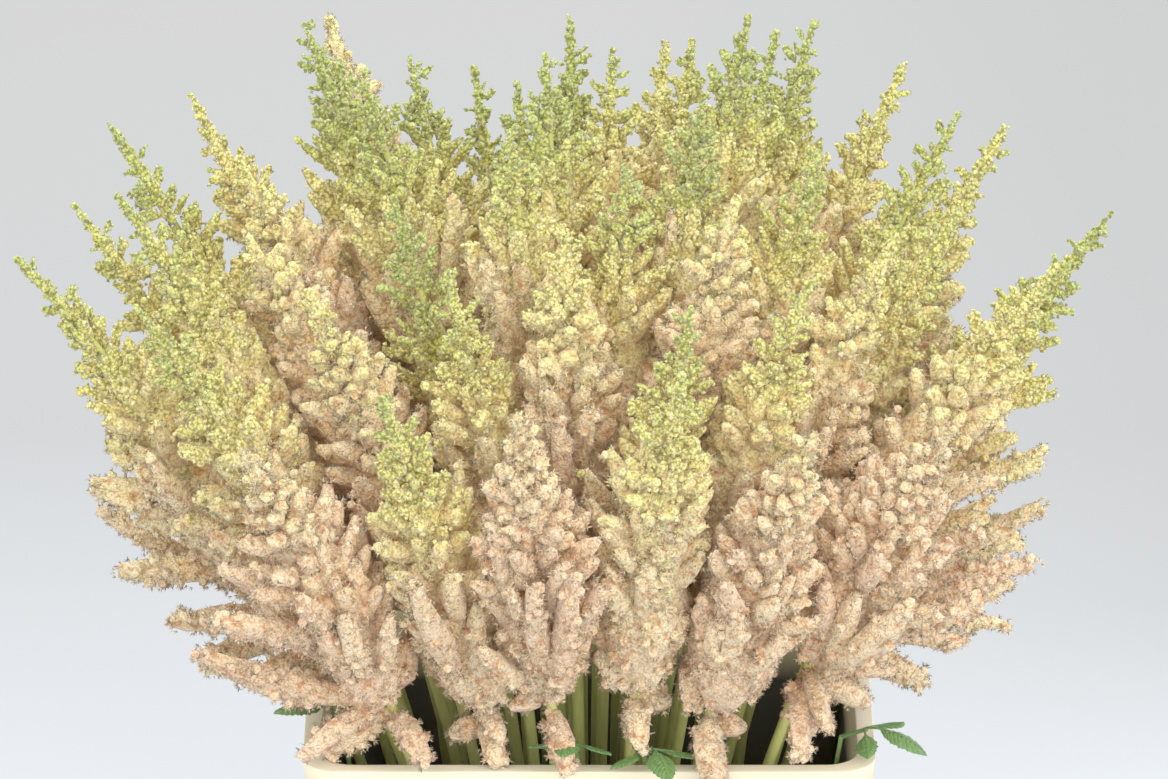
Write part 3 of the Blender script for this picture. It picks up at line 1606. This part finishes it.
@dataclass(frozen=True)
class BloomFinish(Finish):
    """Buds and florets, coloured by their age, tint and depth in the bunch."""

    stops: tuple = (
        (0.0, (164, 182, 80)), (0.16, (198, 204, 100)), (0.32, (228, 222, 138)), (0.5, (243, 234, 168)),
        (0.66, (246, 234, 184)), (0.82, (247, 229, 189)), (1.0, (245, 223, 191)),
    )
    warm: tuple = (244, 208, 183)
    deeps: tuple = ((0.0, (255, 255, 255)), (0.3, (255, 252, 242)), (0.6, (255, 236, 206)), (1.0, (224, 166, 118)))
    fluff_light: tuple = ((0.3, (220, 198, 154)), (0.42, (248, 242, 222)), (0.62, (251, 249, 242)))
    tuft_light: tuple = ((0.18, (206, 158, 120)), (0.32, (247, 233, 211)), (0.46, (252, 250, 244)))
    bead_light: tuple = ((0.32, (156, 146, 60)), (0.46, (232, 226, 164)), (0.64, (254, 254, 236)))

    def paint(self, board: Board) -> dict:
        """Colour from the marks and the grain, bumps of tufts and florets, and a faint sheen.

        Args:
            board: The nodes of the material.

        Returns:
            The inputs of the shader by name.
        """
        bloom = board.node("Attribute", attribute_name="bloom").outputs["Vector"]
        age, tint, deep = board.node("SeparateXYZ", {0: bloom}).outputs
        opened = board.times(board.maths("SUBTRACT", age, 0.35, clamp=True), tint, True)
        shade = board.mix(board.times(opened, 0.9), board.ramp(age, self.stops), self.warm)
        shut = board.past(0.62, age, 4.0)
        fine = board.mix(shut, board.grain(720.0, 2.2, "Height"), board.grain(560.0, 1.6, "Height"))
        light = board.mix(shut, board.ramp(fine, self.fluff_light), board.ramp(fine, self.bead_light))
        shade = board.mix(0.95, shade, light, "MULTIPLY")
        tufts = board.grain(215.0, 1.0, "Height")
        gaps = board.maths("SUBTRACT", 0.9, board.times(shut, 0.6))
        shade = board.mix(gaps, shade, board.ramp(tufts, self.tuft_light), "MULTIPLY")
        bright = board.maths("ADD", 0.2, board.times(shut, 1.7))
        shade = board.mix(board.past(fine, 0.7, bright), shade, (255, 253, 230))
        shade = board.mix(1.0, shade, board.ramp(deep, self.deeps), "MULTIPLY")
        seen = board.node("NewGeometry").outputs
        side = board.maths("SUBTRACT", 1.0, board.times(seen["Backfacing"], 2.0))
        facing = board.node("VectorMath", {0: seen["Normal"], "Scale": side}, operation="SCALE").outputs[0]
        return {
            "Base Color": shade,
            "Normal": board.bump(fine, 0.8, 0.0012, board.bump(tufts, 0.7, 0.003, facing)),
            "Sheen Weight": 0.4,
            "Sheen Tint": colour(255, 246, 226),
        }


@dataclass(frozen=True)
class StemFinish(Finish):
    """Stems: yellow-green, finely streaked, darker towards the water."""

    light: tuple = (226, 226, 112)
    dark: tuple = (166, 178, 72)
    tinted: tuple = (168, 150, 72)
    low: tuple = (40, 48, 20)

    def paint(self, board: Board) -> dict:
        """Streaked colour that fades to dark below, with streaks in the surface too.

        Args:
            board: The nodes of the material.

        Returns:
            The inputs of the shader by name.
        """
        marks = board.node("SeparateXYZ", {0: board.node("Attribute", attribute_name="bloom").outputs["Vector"]})
        lines = board.noise(900.0, 2.0, (1.0, 1.0, 0.06))
        shade = board.mix(lines, self.dark, self.light)
        shade = board.mix(board.times(marks.outputs[1], 0.35), shade, self.tinted)
        return {
            "Base Color": board.mix(board.past(0.98, marks.outputs[2], 1.8), shade, self.low),
            "Roughness": board.maths("ADD", board.times(board.grain(1500.0, 1.0, "Mask"), 0.2), self.roughness - 0.1),
            "Normal": board.bump(lines, 0.4, 0.0004),
        }


@dataclass(frozen=True)
class LeafFinish(Finish):
    """Leaves: fresh green with pale veins that run out to the teeth."""

    dark: tuple = (44, 84, 34)
    light: tuple = (92, 138, 58)
    vein: tuple = (140, 168, 92)

    def paint(self, board: Board) -> dict:
        """Mottled green with veins, which are raised too.

        Args:
            board: The nodes of the material.

        Returns:
            The inputs of the shader by name.
        """
        place = board.node("SeparateXYZ", {0: board.node("UVMap").outputs[0]}).outputs
        across = board.maths("ABSOLUTE", board.maths("SUBTRACT", place[0], 0.5))
        along = board.maths("SUBTRACT", place[1], board.times(across, 0.24))
        wave = board.maths("ABSOLUTE", board.maths("SINE", board.times(along, Leaf.teeth * math.pi)))
        lines = board.maths("MAXIMUM", board.maths("LESS_THAN", wave, 0.16), board.maths("LESS_THAN", across, 0.025))
        shade = board.mix(board.grain(500.0, 1.4, "Mask"), self.dark, self.light)
        return {
            "Base Color": board.mix(board.times(lines, 0.5), shade, self.vein),
            "Normal": board.bump(wave, 0.5, 0.0005),
        }


@dataclass(frozen=True)
class PlasticFinish(Finish):
    """Cream moulded plastic: faint clouding, scuffs and dust, paler along the worn rim, stained green inside."""

    base: tuple = (232, 220, 184)
    cloud: tuple = (222, 206, 164)
    scuffed: tuple = (196, 178, 138)
    paler: tuple = (246, 238, 212)
    stained: tuple = (28, 27, 15)
    rim_line: float = 0.218
    wet_line: float = 0.212

    def paint(self, board: Board) -> dict:
        """Clouded colour with wear and stain, rougher where it is scuffed.

        Args:
            board: The nodes of the material.

        Returns:
            The inputs of the shader by name.
        """
        clouds = board.noise(14.0, 4.0)
        worn = board.ramp(board.noise(160.0, 5.0, (1.0, 1.0, 0.12), (0.3, 0.2, 0)),
                          ((0.62, (0, 0, 0)), (0.72, (255, 255, 255))))
        shade = board.mix(clouds, self.base, self.cloud)
        shade = board.mix(board.times(worn, 0.16), shade, self.scuffed)
        height = board.node("SeparateXYZ", {0: board.where}).outputs[2]
        shade = board.mix(board.times(board.past(height, self.rim_line, 60.0), 0.4), shade, self.paler)
        inward = board.node("VectorMath", {0: board.where, 1: board.node("NewGeometry").outputs["Normal"]},
                            operation="DOT_PRODUCT").outputs["Value"]
        wet = board.past(self.wet_line, height, 45.0)
        shade = board.mix(board.times(wet, board.maths("LESS_THAN", inward, 0.02)), shade, self.stained)
        rough = board.maths("ADD", board.times(board.grain(1200.0, 1.0, "Mask"), 0.14), self.roughness)
        return {
            "Base Color": shade,
            "Roughness": board.maths("ADD", rough, board.times(worn, 0.18), clamp=True),
            "Normal": board.bump(clouds, 0.15, 0.002),
        }


@dataclass(frozen=True)
class WaterFinish(Finish):
    """Clear water with a faint green cast and a still surface."""

    cast: tuple = (205, 218, 196)
    darker: tuple = (190, 205, 176)

    def paint(self, board: Board) -> dict:
        """Clear, faintly rippled.

        Args:
            board: The nodes of the material.

        Returns:
            The inputs of the shader by name.
        """
        ripple = board.noise(22.0, 1.0)
        return {
            "Base Color": board.mix(ripple, self.cast, self.darker),
            "Transmission Weight": 1.0,
            "IOR": 1.33,
            "Normal": board.bump(ripple, 0.1, 0.002),
        }


@dataclass(frozen=True)
class PaperFinish(Finish):
    """The studio's paper: bluish white near the tub, light grey behind and a little darker to the right."""

    tones: tuple = ((0.0, (167, 172, 179)), (0.38, (140, 142, 145)), (1.0, (141, 142, 142)))
    right: tuple = (126, 128, 129)
    flecks: tuple = (125, 126, 130)

    def paint(self, board: Board) -> dict:
        """Colour by the place on the floor.

        Args:
            board: The nodes of the material.

        Returns:
            The inputs of the shader by name.
        """
        where = board.node("SeparateXYZ", {0: board.where}).outputs
        back = board.past(where[1], 0.36, 0.7)
        aside = board.times(board.past(where[0], 0.02, 3.0), board.times(back, 5.0, True))
        shade = board.mix(board.times(aside, 0.5), board.ramp(back, self.tones), self.right)
        return {"Base Color": board.mix(board.times(board.grain(3.0, 0.3, "Mask"), 0.04), shade, self.flecks)}


# ---- studio --------------------------------------------------------------------------------------------------------


@dataclass(frozen=True)
class Studio:
    """The pale floor, the soft lights and the camera."""

    rise: float = 22.0
    distance: float = 4.5
    aim: tuple[float, float, float] = (-0.0025, -0.0364, 0.4073)
    lens: float = 277.4
    lamps: tuple = (
        ("key_light", (-1.2, -1.9, 2.9), 2.4, 34, (1, 0.985, 0.96)),
        ("fill_light", (1.6, -2.8, 1.7), 2.6, 100, (1, 0.99, 0.98)),
        ("top_light", (0.3, 1.2, 2.8), 1.8, 60, (1, 1, 1)),
    )
    air: tuple = (0.98, 0.98, 0.96, 1)
    air_strength: float = 2.62
    exposure: float = -0.1
    gamma: float = 1.12

    def floor(self) -> None:
        """A plain pale floor."""
        Modeller.fresh()
        bpy.ops.mesh.primitive_plane_add(size=12, location=(0, 0, -0.0005))
        bpy.ops.object.transform_apply(location=True, rotation=False, scale=False)
        floor = bpy.context.object
        floor.name = "studio_floor"
        floor.data.materials.append(PaperFinish("studio_paper", 0.9).made())

    def lamp(self, name: str, at: tuple, size: float, power: float, tone: tuple) -> None:
        """A large soft light that looks at the middle of the bunch.

        Args:
            name: Its name.
            at: Where it hangs.
            size: The side of its square.
            power: In watts.
            tone: Its colour.
        """
        light = bpy.data.lights.new(name, "AREA")
        light.size = size
        light.energy = power
        light.color = tone
        obj = placed(name, light)
        obj.location = at
        obj.rotation_euler = (Vector((0, 0, 0.4)) - Vector(at)).to_track_quat("-Z", "Y").to_euler()

    def made(self) -> None:
        """Sets up the floor, the lights, the surroundings and the camera."""
        self.floor()
        for lamp in self.lamps:
            self.lamp(*lamp)
        scene = bpy.context.scene
        scene.world = bpy.data.worlds.new("studio_air")
        scene.world.use_nodes = True
        air = scene.world.node_tree.nodes["Background"].inputs
        air[0].default_value = self.air
        air[1].default_value = self.air_strength
        scene.view_settings.view_transform = "Standard"
        scene.view_settings.look = "Low Contrast"
        scene.view_settings.exposure = self.exposure
        scene.view_settings.gamma = self.gamma
        camera = bpy.data.cameras.new("camera")
        camera.lens = self.lens
        camera.sensor_width = 36
        camera.clip_end = 50
        obj = placed("camera", camera)
        angle = math.radians(self.rise)
        obj.location = Vector(self.aim) + Vector((0, -math.cos(angle), math.sin(angle))) * self.distance
        obj.rotation_euler = (math.pi / 2 - angle, 0, 0)
        bpy.context.scene.camera = obj


# ---- all together --------------------------------------------------------------------------------------------------


@dataclass
class Display:
    """The whole plant in its tub."""

    triangles: int = 955000
    quick_share: float = 0.4

    def flowering_stems(self, bloom: bpy.types.Material, stem: bpy.types.Material) -> None:
        """Grows and dresses every flowering stem.

        Args:
            bloom: The finish of the buds and florets.
            stem: The finish of the stalks.
        """
        bunch = Bunch.grown()
        shapes = Shapes.modelled()
        plumes = [Plume(one, bunch) for one in bunch.stems]
        for plume in plumes:
            plume.grow()
        fingers = [finger for plume in plumes for finger in plume.fingers]
        Crowd(fingers).survey()
        fixed = sum(len(finger.core(shapes).faces) for finger in fingers)
        fixed += len(plumes) * (len(shapes.stalk.faces) + HAIRS)
        density = (self.triangles - fixed) / sum(finger.cost(shapes) for finger in fingers)
        LOG.info("%d fingers, %d triangles in cores and stalks, density %.4f", len(fingers), fixed, density)
        for plume in plumes:
            piece = plume.made(shapes, density, [bloom, stem])
            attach(piece, "root")
            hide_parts(f"flowering_stem_{plume.stem.number:02d}")
            LOG.info("%s: %d fingers, %d triangles", piece.name, len(plume.fingers), len(piece.data.polygons))

    def made(self, frame: dict) -> None:
        """Builds and dresses every piece in order.
        """
        bloom = BloomFinish("astilbe_bloom", 0.75).made()
        stem = StemFinish("hairy_stem", 0.6).made()
        foliage = LeafFinish("leaf_green", 0.5).made()
        self.flowering_stems(bloom, stem)
        for leaf in LEAVES:
            piece = leaf.made(foliage)
            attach(piece, "root")
            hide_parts(f"leaf_{leaf.number}")
            LOG.info("%s", piece.name)
        tub = Tub().made(PlasticFinish("cream_plastic", 0.34).made())
        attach(tub, "root")
        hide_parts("tub")
        LOG.info("%s", tub.name)
        dressed(frame["nodes"]["water"], WaterFinish("still_water", 0.03).made())
        LOG.info("water dressed")


def main() -> None:
    """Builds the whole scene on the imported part."""
    logging.basicConfig(level=logging.INFO, stream=sys.stdout, format="%(name)s: %(message)s")
    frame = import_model()
    Display().made(frame)
    Studio().made()


if __name__ == "__main__":
    main()
